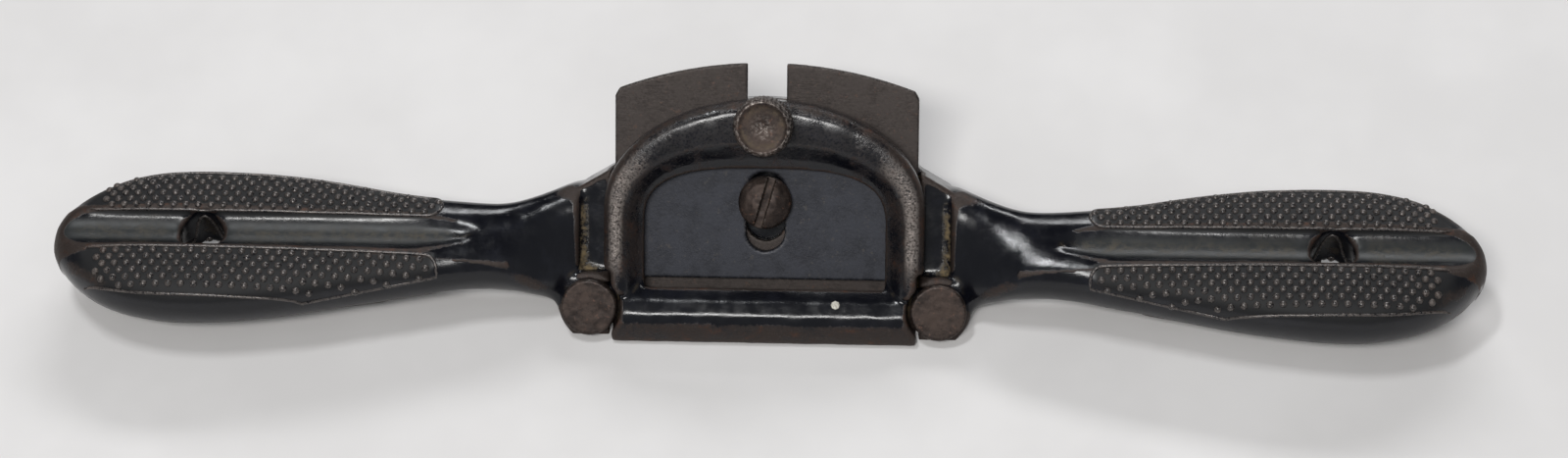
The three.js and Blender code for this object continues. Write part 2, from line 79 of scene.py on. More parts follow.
# The bed frame: x, s up along the cutter, t out of its face, from where the bed meets the sole.
out_of_bed = Vector(joints["cap_screw_turn"]["axis"]).normalized()
up_bed = Vector(joints["cutter_slide"]["axis"]).normalized()
screw_place = Vector(joints["cap_screw_turn"]["pos_m"])
bed_origin = screw_place - up_bed * (screw_place.z / up_bed.z)
knob_place = Vector(joints["thumbscrew_turn"]["pos_m"])


def bed_of(points):
    """x, s and t of points given as an array."""
    moved = points - np.array(bed_origin)
    return moved[:, 0], moved @ np.array(up_bed), moved @ np.array(out_of_bed)


def bed_extent(node):
    """Lowest and highest x, s, t of a CAD node."""
    points = np.array([v.co for v in nodes[node].data.vertices])
    return [(values.min(), values.max()) for values in bed_of(points)]


def smoothstep(values, low, high):
    share = np.clip((values - low) / (high - low), 0, 1)
    return share * share * (3 - 2 * share)


# ---------------------------------------------------------------- camera
ELEVATION = math.radians(54)
AZIMUTH = math.radians(5)
ROLL = math.radians(-3.08)
FIELD = math.radians(22.5)
DISTANCE = 0.7
AIM_RIGHT = 4.8 * MM  # from the toe's lower front edge to the middle of the picture
AIM_UP = 20.5 * MM


def add_camera():
    toe_low, toe_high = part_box("toe_section")
    back = Vector((
        math.sin(AZIMUTH) * math.cos(ELEVATION),
        -math.cos(AZIMUTH) * math.cos(ELEVATION),
        math.sin(ELEVATION),
    ))
    right = Vector((math.cos(AZIMUTH), math.sin(AZIMUTH), 0))
    up = back.cross(right)
    aim = Vector(((toe_low.x + toe_high.x) / 2, toe_low.y, 0)) + right * AIM_RIGHT + up * AIM_UP
    data = bpy.data.cameras.new("camera")
    data.sensor_width = 36
    data.lens = data.sensor_width / 2 / math.tan(FIELD / 2)
    data.clip_start = 0.01
    camera = bpy.data.objects.new("camera", data)
    bpy.context.scene.collection.objects.link(camera)
    turn = Matrix((right, up, back)).transposed() @ Matrix.Rotation(ROLL, 3, "Z")
    camera.matrix_world = Matrix.Translation(aim + back * DISTANCE) @ turn.to_4x4()
    bpy.context.scene.camera = camera


# ---------------------------------------------------------------- node trees
class Tree:
    """Short names for the nodes of one material."""

    def __init__(self, name):
        self.material = bpy.data.materials.new(name)
        self.material.use_nodes = True
        self.tree = self.material.node_tree
        self.shader = self.tree.nodes["Principled BSDF"]
        self.place = self.tree.nodes.new("ShaderNodeTexCoord").outputs["Object"]

    def link(self, source, target):
        if hasattr(source, "node"):
            self.tree.links.new(source, target)
        else:
            target.default_value = source

    def attribute(self, name):
        node = self.tree.nodes.new("ShaderNodeAttribute")
        node.attribute_name = name
        return node.outputs["Fac"]

    def noise(self, size_mm, detail=4, rough=0.55, stretch=None):
        node = self.tree.nodes.new("ShaderNodeTexNoise")
        node.inputs["Scale"].default_value = 1 / (size_mm * MM)
        node.inputs["Detail"].default_value = detail
        node.inputs["Roughness"].default_value = rough
        place = self.place
        if stretch:
            mapping = self.tree.nodes.new("ShaderNodeMapping")
            mapping.inputs["Scale"].default_value = stretch
            mapping.inputs["Rotation"].default_value = (-math.pi / 4, 0, 0)
            self.link(place, mapping.inputs["Vector"])
            place = mapping.outputs["Vector"]
        self.link(place, node.inputs["Vector"])
        return node.outputs["Fac"]

    def cells(self, size_mm):
        node = self.tree.nodes.new("ShaderNodeTexVoronoi")
        node.inputs["Scale"].default_value = 1 / (size_mm * MM)
        self.link(self.place, node.inputs["Vector"])
        return node.outputs["Distance"]

    def math(self, operation, a, b=0.0, c=0.0):
        node = self.tree.nodes.new("ShaderNodeMath")
        node.operation = operation
        for value, target in zip((a, b, c), node.inputs):
            self.link(value, target)
        return node.outputs[0]

    def between(self, value, low, high, to_low=0.0, to_high=1.0):
        node = self.tree.nodes.new("ShaderNodeMapRange")
        node.interpolation_type = "SMOOTHSTEP"
        for given, name in ((value, "Value"), (low, "From Min"), (high, "From Max")):
            self.link(given, node.inputs[name])
        node.inputs["To Min"].default_value = to_low
        node.inputs["To Max"].default_value = to_high
        return node.outputs["Result"]

    def mix(self, share, a, b):
        node = self.tree.nodes.new("ShaderNodeMix")
        node.data_type = "RGBA"
        self.link(share, node.inputs["Factor"])
        for value, target in ((a, node.inputs[6]), (b, node.inputs[7])):
            self.link(value if hasattr(value, "node") else (*value, 1), target)
        return node.outputs[2]

    def blend(self, share, a, b):
        node = self.tree.nodes.new("ShaderNodeMix")
        self.link(share, node.inputs["Factor"])
        self.link(a, node.inputs[2])
        self.link(b, node.inputs[3])
        return node.outputs[0]

    def bump(self, heights):
        """heights: (value, depth in mm, coarse to fine)."""
        normal = None
        for value, depth_mm in heights:
            node = self.tree.nodes.new("ShaderNodeBump")
            node.inputs["Strength"].default_value = 1
            node.inputs["Distance"].default_value = depth_mm * MM
            self.link(value, node.inputs["Height"])
            if normal:
                self.link(normal, node.inputs["Normal"])
            normal = node.outputs["Normal"]
        self.link(normal, self.shader.inputs["Normal"])

    def finish(self, colour, rough, metal, specular=0.5):
        self.link(colour, self.shader.inputs["Base Color"])
        self.link(rough, self.shader.inputs["Roughness"])
        self.link(metal, self.shader.inputs["Metallic"])
        self.shader.inputs["Specular IOR Level"].default_value = specular
        return self.material


JAPAN = (0.0035, 0.0038, 0.0060)
JAPAN_DUSTY = (0.0085, 0.0092, 0.0135)
BROWN = (0.034, 0.024, 0.020)
RUST = (0.075, 0.032, 0.018)
IRON = (0.20, 0.175, 0.16)
GRIME = (0.17, 0.125, 0.065)
CHANNEL = (0.016, 0.018, 0.018)


def cast_finish(name, bare_at):
    """Black japanning over cast iron. Attributes: wear at edges, grime in corners, bare where the
    japanning has gone, polish where the bare metal is bright, channel in the handles' grooves,
    pad on the ground of the chequering, which is darkened there as painted shade."""
    m = Tree(name)
    wear = m.attribute("wear")
    grime = m.attribute("grime")
    bare = m.attribute("bare")
    polish = m.attribute("polish")
    channel = m.attribute("channel")
    pad = m.attribute("pad")
    patches = m.noise(5, 6, 0.62)
    grains = m.noise(0.55, 4, 0.65)
    fine = m.noise(0.22, 2, 0.5)
    cells = m.cells(0.42)

    loss = m.math("ADD", m.math("MULTIPLY", wear, 1.1), bare)
    loss = m.math("ADD", loss, m.math("MULTIPLY", patches, 0.75))
    loss = m.math("ADD", loss, m.math("MULTIPLY", grains, 0.45))
    loss = m.between(loss, bare_at, bare_at + 0.38)
    texture = m.math("ADD", grains, m.math("MULTIPLY", cells, 0.5))
    bright = m.math("MULTIPLY", polish, m.between(texture, 0.5, 0.86))
    dirt = m.math("MULTIPLY", grime, m.between(m.noise(1.6, 5, 0.7), 0.40, 0.62))

    japan = m.mix(m.between(patches, 0.45, 0.75), JAPAN, JAPAN_DUSTY)
    japan = m.mix(channel, japan, CHANNEL)
    # Painted shade: the ground of the chequering between the dots is darkened to stand for the shade in
    # its hollows.
    japan = m.mix(pad, japan, (0.0022, 0.0022, 0.0028))
    brown = m.mix(m.between(m.noise(2.4, 5, 0.7), 0.52, 0.74), BROWN, RUST)
    brown = m.mix(m.between(fine, 0.62, 0.75), brown, (0.10, 0.085, 0.075))
    colour = m.mix(loss, japan, brown)
    colour = m.mix(bright, colour, IRON)
    colour = m.mix(dirt, colour, GRIME)

    rough = m.between(m.noise(3, 4, 0.6), 0.35, 0.7, 0.13, 0.26)
    rough = m.blend(m.math("MULTIPLY", channel, 0.7), rough, 0.5)
    rough = m.blend(pad, rough, 0.62)
    rough = m.blend(loss, rough, 0.52)
    rough = m.blend(bright, rough, 0.36)
    rough = m.blend(dirt, rough, 0.9)
    metal = m.math("MULTIPLY", m.math("MAXIMUM", m.math("MULTIPLY", loss, 0.45), bright), 0.85)
    metal = m.math("MULTIPLY", metal, m.math("SUBTRACT", 1.0, dirt))
    pits = m.math("MULTIPLY", m.math("ADD", loss, m.math("MULTIPLY", polish, 0.7)), grains)
    m.bump([(m.noise(2.6, 3, 0.5), 0.05), (pits, 0.10), (fine, 0.012), (dirt, 0.12)])
    return m.finish(colour, rough, metal, 0.4)


def steel_finish(name, dark, light, rust, rough_low, rough_high, brushed=None, metal=0.85, glints=0.5):
    """Old bare steel: two tones of patina, rust specks, scratches and dirt in the corners."""
    m = Tree(name)
    wear = m.attribute("wear")
    grime = m.attribute("grime")
    patches = m.noise(3.4, 6, 0.65)
    grains = m.noise(0.5, 5, 0.7)
    mottle = m.math("ADD", patches, m.math("MULTIPLY", grains, 0.4))
    colour = m.mix(m.between(mottle, 0.52, 0.90), dark, light)
    specks = m.between(m.noise(1.1, 3, 0.7), 0.60, 0.70)
    colour = m.mix(m.math("MULTIPLY", specks, 0.7), colour, rust)
    glint = m.math("MULTIPLY", m.between(grains, 0.45, 0.7), m.math("MULTIPLY", wear, glints))
    colour = m.mix(glint, colour, (0.42, 0.38, 0.35))
    dirt = m.math("MULTIPLY", grime, m.between(m.noise(1.3, 5, 0.7), 0.38, 0.6))
    colour = m.mix(dirt, colour, GRIME)
    rough = m.between(patches, 0.35, 0.7, rough_low, rough_high)
    rough = m.blend(glint, rough, 0.3)
    rough = m.blend(dirt, rough, 0.9)
    heights = [(patches, 0.04), (grains, 0.022)]
    if brushed:
        lines = m.noise(0.35, 2, 0.5, brushed)
        colour = m.mix(m.between(lines, 0.35, 0.75, 0.0, 0.35), colour, light)
        heights.append((lines, 0.008))
    m.bump(heights)
    dull = m.math("MAXIMUM", dirt, m.math("MULTIPLY", specks, 0.6))
    metallic = m.math("MULTIPLY", metal, m.math("SUBTRACT", 1.0, dull))
    return m.finish(colour, rough, metallic)


# ---------------------------------------------------------------- meshes
def object_of(name, mesh, material, body, replaced=()):
    piece = bpy.data.objects.new(name, mesh)
    bpy.context.scene.collection.objects.link(piece)
    mesh.materials.clear()
    mesh.materials.append(material)
    mesh.shade_smooth()
    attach(piece, body)
    if replaced:
        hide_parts(*replaced)
    return piece


def remeshed(node, voxel_mm):
    """The CAD node's solid as an even mesh of small faces."""
    copy = bpy.data.objects.new("remesh", nodes[node].data.copy())
    bpy.context.scene.collection.objects.link(copy)
    modifier = copy.modifiers.new("remesh", "REMESH")
    modifier.mode = "VOXEL"
    modifier.voxel_size = voxel_mm * MM
    graph = bpy.context.evaluated_depsgraph_get()
    mesh = bpy.data.meshes.new_from_object(copy.evaluated_get(graph))
    bpy.data.objects.remove(copy)
    return mesh


def points_of(mesh):
    points = np.zeros(len(mesh.vertices) * 3)
    mesh.vertices.foreach_get("co", points)
    return points.reshape(-1, 3)


def normals_of(mesh):
    normals = np.zeros(len(mesh.vertices) * 3)
    mesh.vertices.foreach_get("normal", normals)
    return normals.reshape(-1, 3)


def edges_of(mesh):
    edges = np.zeros(len(mesh.edges) * 2, np.int32)
    mesh.edges.foreach_get("vertices", edges)
    return edges.reshape(-1, 2)


def relaxed(points, edges, rounds, weight=0.5):
    """Points moved towards the mean of their neighbours, that many times."""
    made = points.copy()
    count = np.bincount(edges.ravel(), minlength=len(made)).reshape(-1, 1)
    for _ in range(rounds):
        total = np.stack([
            np.bincount(edges[:, 0], made[edges[:, 1], axis], len(made))
            + np.bincount(edges[:, 1], made[edges[:, 0], axis], len(made))
            for axis in range(3)
        ], axis=1)
        made += weight * (total / count - made)
    return made


def place_points(mesh, points):
    mesh.vertices.foreach_set("co", points.astype(np.float32).ravel())
    mesh.update()


def set_attribute(mesh, name, values):
    attribute = mesh.attributes.new(name, "FLOAT", "POINT")
    attribute.data.foreach_set("value", np.clip(values, 0, 1).astype(np.float32))


def edge_attributes(mesh, fine_rounds, coarse_rounds, fine_mm, coarse_mm):
    """wear where the surface stands proud of its surroundings, grime where it lies below them."""
    points, edges, normals = points_of(mesh), edges_of(mesh), normals_of(mesh)
    proud = ((points - relaxed(points, edges, fine_rounds)) * normals).sum(1)
    sunk = ((relaxed(points, edges, coarse_rounds) - points) * normals).sum(1)
    set_attribute(mesh, "wear", smoothstep(proud, 0.15 * fine_mm * MM, fine_mm * MM))
    set_attribute(mesh, "grime", smoothstep(sunk, 0.25 * coarse_mm * MM, coarse_mm * MM))


def rumpled(mesh, size_mm, depth_mm):
    """The slight unevenness of a casting."""
    points, normals = points_of(mesh), normals_of(mesh)
    heights = np.array([noise.noise(Vector(p / (size_mm * MM))) for p in points])
    place_points(mesh, points + normals * heights[:, None] * depth_mm * MM)


# ---------------------------------------------------------------- body casting
GROOVE_HALF = 3.6 * MM
CHEEK_OUTER = 33 * MM
HANDLE_START = 36 * MM
PANEL_INNER = 57.5 * MM
BODY_VOXEL_MM = 0.45

body_low, body_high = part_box("body_casting")
handle_points = np.array([v.co for v in nodes["body_casting"].data.vertices])
tip_points = handle_points[np.abs(handle_points[:, 0]) > 0.98 * body_high.x]
handle_middle = tip_points.mean(0)  # its y and z are the handle's centre line


def body_mesh():
    mesh = remeshed("body_casting", BODY_VOXEL_MM)
    edges = edges_of(mesh)
    points = relaxed(points_of(mesh), edges, 5)
    across = np.abs(points[:, 1] - handle_middle[1])
    on_handle = smoothstep(np.abs(points[:, 0]), CHEEK_OUTER + 1 * MM, HANDLE_START + 4 * MM)
    in_groove = (np.abs(points[:, 0]) > 45 * MM) & (across < GROOVE_HALF + 1.3 * MM)
    weight = (0.5 * on_handle * np.where(in_groove, 0.06, 1.0))[:, None]
    points = relaxed(points, edges, 70, weight)
    points[:, 2] = np.maximum(points[:, 2], body_low.z)
    place_points(mesh, points)
    rumpled(mesh, 7, 0.06)
    edge_attributes(mesh, 14, 30, 0.10, 0.30)

    points, normals = points_of(mesh), normals_of(mesh)
    x, s, t = bed_of(points)
    distance = np.abs(points[:, 0])
    across = np.abs(points[:, 1] - handle_middle[1])
    facing = np.abs(normals[:, 2])
    height = np.abs(points[:, 2] - handle_middle[2])
    floor = smoothstep(facing, 0.6, 0.85) * smoothstep(distance, 53 * MM, 57 * MM) * (across < GROOVE_HALF)
    set_attribute(mesh, "channel", floor * (1 - smoothstep(height, 4.2 * MM, 4.9 * MM)))
    # pad marks the ground of the chequering, between the dots; the finish darkens it there as painted
    # shade.
    pad = smoothstep(distance, PANEL_INNER, PANEL_INNER + 1.5 * MM)
    pad *= 1 - smoothstep(distance, PANEL_OUTER - 1 * MM, PANEL_OUTER + 3 * MM)
    set_attribute(mesh, "pad", pad * (across > GROOVE_HALF) * smoothstep(facing, 0.25, 0.6))
    ends = smoothstep(distance, 112 * MM, 127 * MM) * 0.25
    rim = smoothstep(-normals[:, 2], -0.25, 0.35) * 0.10 * (distance > 60 * MM)
    sole = smoothstep(-normals[:, 2], 0.9, 0.99) * (points[:, 2] < 0.6 * MM)
    strip = (distance < CHEEK_OUTER + 0.6 * MM) * (t > 0) * (s > 5 * MM) * 0.16
    set_attribute(mesh, "bare", ends + rim + sole + strip)
    set_attribute(mesh, "polish", sole * 0.7)
    return mesh


WIDTH_FROM = 46 * MM
WIDTH_REACH = 3.2 * MM  # how far from a place its width is looked for
WIDTH_SMOOTHING = 12  # places on each side that are averaged


def width_curve():
    """Distances from the middle, and half of the handle's width at each."""
    distances = np.arange(WIDTH_FROM, body_high.x, 0.5 * MM)
    away = np.abs(handle_points[:, 0])
    across = np.abs(handle_points[:, 1] - handle_middle[1])
    halves = [across[np.abs(away - d) < WIDTH_REACH].max() for d in distances]
    weights = np.hanning(2 * WIDTH_SMOOTHING + 3)[1:-1]
    padded = np.pad(halves, WIDTH_SMOOTHING, "edge")
    return distances, np.convolve(padded, weights / weights.sum(), "valid")


width_places, width_halves = width_curve()


def half_width(x):
    """Half of the handle's width at a distance from the middle."""
    return float(np.interp(abs(x), width_places, width_halves))


# ---------------------------------------------------------------- chequering
PANEL_OUTER = 120 * MM
UNDER_PANEL_INNER = 66 * MM
DOME_PITCH = 2.24 * MM
ROW_PITCH = 1.3 * MM
DOME_RADIUS = 0.70 * MM
DOME_HEIGHT = 0.55 * MM
BEAD_RADIUS = 0.30 * MM
PANEL_MARGIN = 0.55 * MM


class Builder:
    """Collects vertices and faces of one piece."""

    def __init__(self):
        self.points = []
        self.faces = []

    def ring(self, centre, right, up, radius, count, out=Vector()):
        start = len(self.points)
        for i in range(count):
            angle = 2 * math.pi * i / count
            self.points.append(centre + out + (right * math.cos(angle) + up * math.sin(angle)) * radius)
        return list(range(start, start + count))

    def wall(self, low, high):
        count = len(low)
        for i in range(count):
            j = (i + 1) % count
            self.faces.append((low[i], low[j], high[j], high[i]))

    def mesh(self, name):
        mesh = bpy.data.meshes.new(name)
        mesh.from_pydata([tuple(p) for p in self.points], [], self.faces)
        mesh.validate()
        mesh.update()
        return mesh


def dome(builder, place, normal, radius, height):
    right = normal.orthogonal().normalized()
    up = normal.cross(right)
    rings = []
    for share, rise in ((1.0, -0.35), (1.0, 0.05), (0.8, 0.55), (0.42, 0.9)):
        rings.append(builder.ring(place, right, up, radius * share, 8, normal * (height * rise)))
    for low, high in zip(rings, rings[1:]):
        builder.wall(low, high)
    builder.points.append(place + normal * height)
    top = len(builder.points) - 1
    for i in range(8):
        builder.faces.append((rings[-1][i], rings[-1][(i + 1) % 8], top))
    builder.faces.append(tuple(reversed(rings[0])))


def bead(builder, path, normals, radius, closed=True, sides=6):
    rings = []
    count = len(path)
    for i in range(count):
        before = path[i - 1] if closed or i else path[0]
        after = path[(i + 1) % count] if closed or i + 1 < count else path[-1]
        along = (after - before).normalized()
        side = normals[i].cross(along).normalized()
        rings.append(builder.ring(path[i], side, along.cross(side), radius, sides))
    for low, high in zip(rings, rings[1:] + rings[:1] if closed else rings[1:]):
        builder.wall(low, high)
    if not closed:
        builder.faces.append(tuple(reversed(rings[0])))
        builder.faces.append(tuple(rings[-1]))


def panel_limits(x, inner, face):
    """Lowest and highest distance from the groove's middle line, for one panel, or None."""
    low = GROOVE_HALF + PANEL_MARGIN
    high = half_width(x) * (0.89 if face > 0 else 0.70)
    end = (abs(x) - inner) / (2.4 * MM)
    if end < 0:
        return None
    if end < 1:  # the round end at the neck
        middle = (low + high) / 2
        half = (high - low) / 2 * math.sqrt(1 - (1 - end) ** 2)
        return middle - half, middle + half
    return (low, high) if high - low > 0.5 * MM else None


def on_surface(tree, x, y, face):
    start = Vector((x, y, handle_middle[2] + face * 30 * MM))
    place, normal, _, _ = tree.ray_cast(start, Vector((0, 0, -face)))
    return (place, normal) if place is not None else None


def chequered_panel(name, tree, material, side, face, row_side):
    """Raised dots in staggered rows, inside a thin raised rim, on one half of a handle's face."""
    builder = Builder()
    inner = PANEL_INNER if face > 0 else UNDER_PANEL_INNER
    outline = []
    samples = 90
    for edge in (0, 1):
        run = []
        for i in range(samples + 1):
            share = i / samples
            x = inner + (PANEL_OUTER - inner) * (share ** 1.5 if edge == 0 else (1 - share) ** 1.5)
            limits = panel_limits(x, inner, face)
            if limits:
                run.append((x, limits[edge]))
        outline += run
    path, normals = [], []
    for x, across in outline:
        found = on_surface(tree, side * x, handle_middle[1] + row_side * across, face)
        if found and (not path or (found[0] - path[-1]).length > 0.25 * MM):
            path.append(found[0])
            normals.append(found[1])
    bead(builder, path, normals, BEAD_RADIUS)
    rows = int(14 * MM / ROW_PITCH)
    columns = int((PANEL_OUTER - inner) / DOME_PITCH)
    for row in range(rows):
        across = GROOVE_HALF + PANEL_MARGIN + 0.9 * MM + row * ROW_PITCH
        for column in range(columns):
            x = inner + DOME_PITCH * (column + 0.5 * (row % 2)) + 0.8 * MM
            limits = panel_limits(x, inner, face)
            if not limits or not limits[0] + 0.7 * MM < across < limits[1] - 0.5 * MM:
                continue
            jitter = random.uniform(-0.05, 0.05) * MM
            found = on_surface(tree, side * (x + jitter), handle_middle[1] + row_side * across, face)
            if found:
                worn = random.uniform(0.8, 1.0)
                dome(builder, found[0], found[1], DOME_RADIUS, DOME_HEIGHT * worn)
    mesh = builder.mesh(name)
    points = points_of(mesh)
    ends = smoothstep(np.abs(points[:, 0]), 106 * MM, 122 * MM)
    set_attribute(mesh, "wear", np.full(len(points), 0.42))
    set_attribute(mesh, "grime", np.zeros(len(points)))
    set_attribute(mesh, "bare", ends * 0.45)
    set_attribute(mesh, "polish", np.full(len(points), 0.5))
    return object_of(name, mesh, material, "casting")


# ---------------------------------------------------------------- toe section
def toe_mesh():
    mesh = remeshed("toe_section", 0.32)
    points = relaxed(points_of(mesh), edges_of(mesh), 9)
    points[:, 2] = np.maximum(points[:, 2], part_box("toe_section")[0].z)
    place_points(mesh, points)
    rumpled(mesh, 3, 0.07)
    edge_attributes(mesh, 12, 40, 0.14, 0.45)

    points, normals = points_of(mesh), normals_of(mesh)
    x, s, t = bed_of(points)
    away = np.abs(x)
    front = normals @ np.array(out_of_bed)
    crown = smoothstep(s, 24 * MM, 29 * MM)
    leg = smoothstep(away, 19 * MM, 22 * MM) * smoothstep(s, 3 * MM, 8 * MM) * (1 - crown)
    ridge = smoothstep(front, 0.80, 0.97)
    toe = 1 - smoothstep(s, -1 * MM, 4 * MM)
    low_front = 1 - smoothstep(points[:, 2], 4.2 * MM, 5.6 * MM)
    flats = crown * smoothstep(front, 0.93, 0.99) * (away < 16 * MM)
    middle_leg = 1 - np.abs(s - 15 * MM) / (9 * MM)
    bare = 0.34 + 0.12 * leg - 0.5 * flats - 0.42 * toe * (1 - low_front) + 0.22 * toe * low_front
    set_attribute(mesh, "bare", bare)
    bright_legs = leg * ridge * np.clip(middle_leg + 0.45, 0, 1) * 1.35
    set_attribute(mesh, "polish", bright_legs + 0.10 * crown * ridge)
    set_attribute(mesh, "channel", np.zeros(len(points)))
    return mesh


# ---------------------------------------------------------------- plates and screws
def steel_mesh(node, voxel_mm, rounds, rough_mm=0.0):
    mesh = remeshed(node, voxel_mm)
    place_points(mesh, relaxed(points_of(mesh), edges_of(mesh), rounds))
    if rough_mm:
        rumpled(mesh, 1.2, rough_mm)
    edge_attributes(mesh, 8, 24, 0.5 * voxel_mm, 1.5 * voxel_mm)
    return mesh


def turned(name, profile, segments, radius_at, centre, axis):
    """A body of revolution: (radius, height) pairs in mm, from axis to axis."""
    builder = Builder()
    right = Vector((1, 0, 0))
    up = axis.cross(right)
    rings = []
    for radius, height in profile[1:-1]:
        start = len(builder.points)
        for i in range(segments):
            angle = 2 * math.pi * i / segments
            r = radius_at(radius, height, angle) * MM
            outward = right * math.cos(angle) + up * math.sin(angle)
            builder.points.append(centre + axis * height * MM + outward * r)
        rings.append(list(range(start, start + segments)))
    for low, high in zip(rings, rings[1:]):
        builder.wall(low, high)
    for (radius, height), ring, flip in ((profile[0], rings[0], True), (profile[-1], rings[-1], False)):
        builder.points.append(centre + axis * height * MM)
        last = len(builder.points) - 1
        for i in range(segments):
            pair = (ring[i], ring[(i + 1) % segments])
            builder.faces.append((*(reversed(pair) if flip else pair), last))
    return builder.mesh(name)


KNURLS = 44
KNOB_HEIGHT = 4
SHANK_RADIUS = 1.6
THREAD_STEPS = 8  # rings of points for each turn of the thread
# The thumbscrew's top, in mm: how far in from the knurled edge, and how far below the face.
KNOB_RIM = (
    (0.06, 1.2), (0.16, 0.9), (0.3, 0.55), (0.42, 0.3),
    (0.58, 0.1), (0.83, 0.02), (1.08, 0.06), (1.28, 0.2),
)
# Its face inside the rim: the radius, and how far below the highest point.
KNOB_FACE = ((3.5, 0.27), (2.6, 0.3), (1.3, 0.34), (0.9, 0.42), (0.5, 0.46), (0, 0.46))
THREAD_PITCH = 0.9
THREAD_DEPTH = 0.16


def knob_radius(bottom, top, shank_radius, knurled_radius):
    def radius_at(radius, height, angle):
        if bottom < height < top and radius > knurled_radius:
            return radius - 0.13 * (0.5 - 0.5 * math.cos(KNURLS * angle)) ** 2
        if radius <= shank_radius + 0.01 and height < 0:
            phase = (height / THREAD_PITCH - angle / (2 * math.pi)) % 1
            return radius - THREAD_DEPTH * abs(2 * phase - 1)
        return radius
    return radius_at


def thumbscrew_mesh():
    (_, edge), _, (low, high) = bed_extent("mouth_thumbscrew")
    edge, low, high = edge / MM, low / MM, high / MM
    seat = high - KNOB_HEIGHT
    shank = SHANK_RADIUS
    profile = [(0, low), (shank - 0.35, low)]
    thread_rings = int((0.2 - low) / THREAD_PITCH * THREAD_STEPS)
    profile += [(shank, low + 0.35 + i * THREAD_PITCH / THREAD_STEPS) for i in range(thread_rings)]
    profile += [(shank, 0.3), (shank, seat)]
    profile += [(edge - 0.6, seat), (edge - 0.2, seat + 0.12), (edge - 0.02, seat + 0.4)]
    profile += [(edge, seat + 0.4 + i * 0.24) for i in range(1, 10)]
    profile += [(edge - drop, high - below) for drop, below in KNOB_RIM]
    profile += [(radius, high - below) for radius, below in KNOB_FACE]
    radius_at = knob_radius(seat + 0.3, high - 0.8, shank, edge - 0.4)
    mesh = turned("thumbscrew", profile, KNURLS * 6, radius_at, knob_place, out_of_bed)
    points = points_of(mesh)
    x, s, t = bed_of(points)
    radius = np.hypot(x, s - np.dot(np.array(knob_place - bed_origin), np.array(up_bed)))
    top = t > (high - 1.3) * MM
    rim = smoothstep(radius, 4.1 * MM, 4.7 * MM) + 0.75 * (1 - smoothstep(radius, 0.8 * MM, 1.8 * MM))
    set_attribute(mesh, "wear", np.where(top, rim, 0.25))
    ring = (1 - smoothstep(np.abs(radius - 3.7 * MM), 0.1 * MM, 0.4 * MM)) * 0.35
    set_attribute(mesh, "grime", np.where(t > seat * MM, ring, 0))
    return mesh


SPRING_WIRE = 0.3 * MM  # radius
SPRING_RADIUS = 2.45 * MM
SPRING_TURNS = 5.5
SPRING_STEPS = 36  # for each turn


def spring_mesh():
    """Round wire: closed end turns, and open turns between them."""
    _, _, (low, high) = bed_extent("mouth_spring")
    builder = Builder()
    wire = SPRING_WIRE
    travel = high - low - 2 * wire
    steps = int(SPRING_TURNS * SPRING_STEPS)
    path, normals = [], []
    for i in range(steps + 1):
        share = i / steps
        rise = min(1, max(0, (share - 0.12) / 0.76))
        angle = 2 * math.pi * SPRING_TURNS * share
        outward = Vector((1, 0, 0)) * math.cos(angle) + up_bed * math.sin(angle)
        middle = knob_place + out_of_bed * (low + wire + travel * (0.06 * share + 0.94 * rise))
        path.append(middle + outward * SPRING_RADIUS)
        normals.append(outward)
    bead(builder, path, normals, wire, closed=False, sides=10)
    mesh = builder.mesh("spring")
    set_attribute(mesh, "wear", np.full(len(mesh.vertices), 0.2))
    set_attribute(mesh, "grime", np.full(len(mesh.vertices), 0.3))
    return mesh, knob_place + out_of_bed * low, knob_place + out_of_bed * high


def add_spring():
    """The spring squeezed between the bed and the crown, built in place and fixed to neither."""
    mesh, foot, head = spring_mesh()
    mesh.materials.append(spring_finish)
    mesh.shade_smooth()
    spring = bpy.data.objects.new("coil_spring", mesh)
    bpy.context.scene.collection.objects.link(spring)
    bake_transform(spring)
    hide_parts("mouth_spring")


def paint_speck(tree, material):
    """A dried splash of pale paint on top of the toe."""
    toe_low, toe_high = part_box("toe_section")
    start = Vector((12.8 * MM, toe_low.y + 4.3 * MM, 40 * MM))
    place, normal, _, _ = tree.ray_cast(start, Vector((0, 0, -1)))
    builder = Builder()
    dome(builder, place, normal, 0.8 * MM, 0.16 * MM)
    return object_of("paint_speck", builder.mesh("speck"), material, "toe")


def speck_finish():
    m = Tree("paint_speck")
    tone = m.between(m.noise(0.4, 3), 0.4, 0.7)
    m.bump([(m.noise(0.3, 2), 0.03)])
    return m.finish(m.mix(tone, (0.62, 0.60, 0.53), (0.42, 0.39, 0.33)), 0.6, 0.0)


# ---------------------------------------------------------------- stage
def floor_finish():
    m = Tree("floor")
    tone = m.between(m.noise(60, 4, 0.6), 0.35, 0.7)
    colour = m.mix(tone, (0.70, 0.685, 0.675), (0.76, 0.745, 0.735))
    m.bump([(m.noise(4, 3), 0.02)])
    return m.finish(colour, 0.65, 0.0, 0.2)


def add_floor():
    mesh = bpy.data.meshes.new("floor")
    half = 3.0
    corners = [(-half, -half, 0), (half, -half, 0), (half, half, 0), (-half, half, 0)]
    mesh.from_pydata([(x, y, cad_low.z) for x, y, _ in corners], [], [(0, 1, 2, 3)])
    mesh.materials.append(floor_finish())
    floor = bpy.data.objects.new("floor", mesh)
    bpy.context.scene.collection.objects.link(floor)


def add_light(name, place, aim, size, power, tone=(1, 1, 1)):
    data = bpy.data.lights.new(name, "AREA")
    data.shape = "RECTANGLE"
    data.size, data.size_y = size
    data.energy = power
    data.color = tone
    light = bpy.data.objects.new(name, data)
    bpy.context.scene.collection.objects.link(light)
    light.location = place
    light.rotation_mode = "QUATERNION"
    light.rotation_quaternion = (Vector(aim) - Vector(place)).to_track_quat("-Z", "Y")


FRONT_GLOW = 0.30  # strength of the surroundings on the toe's side
REAR_GLOW = 0.06


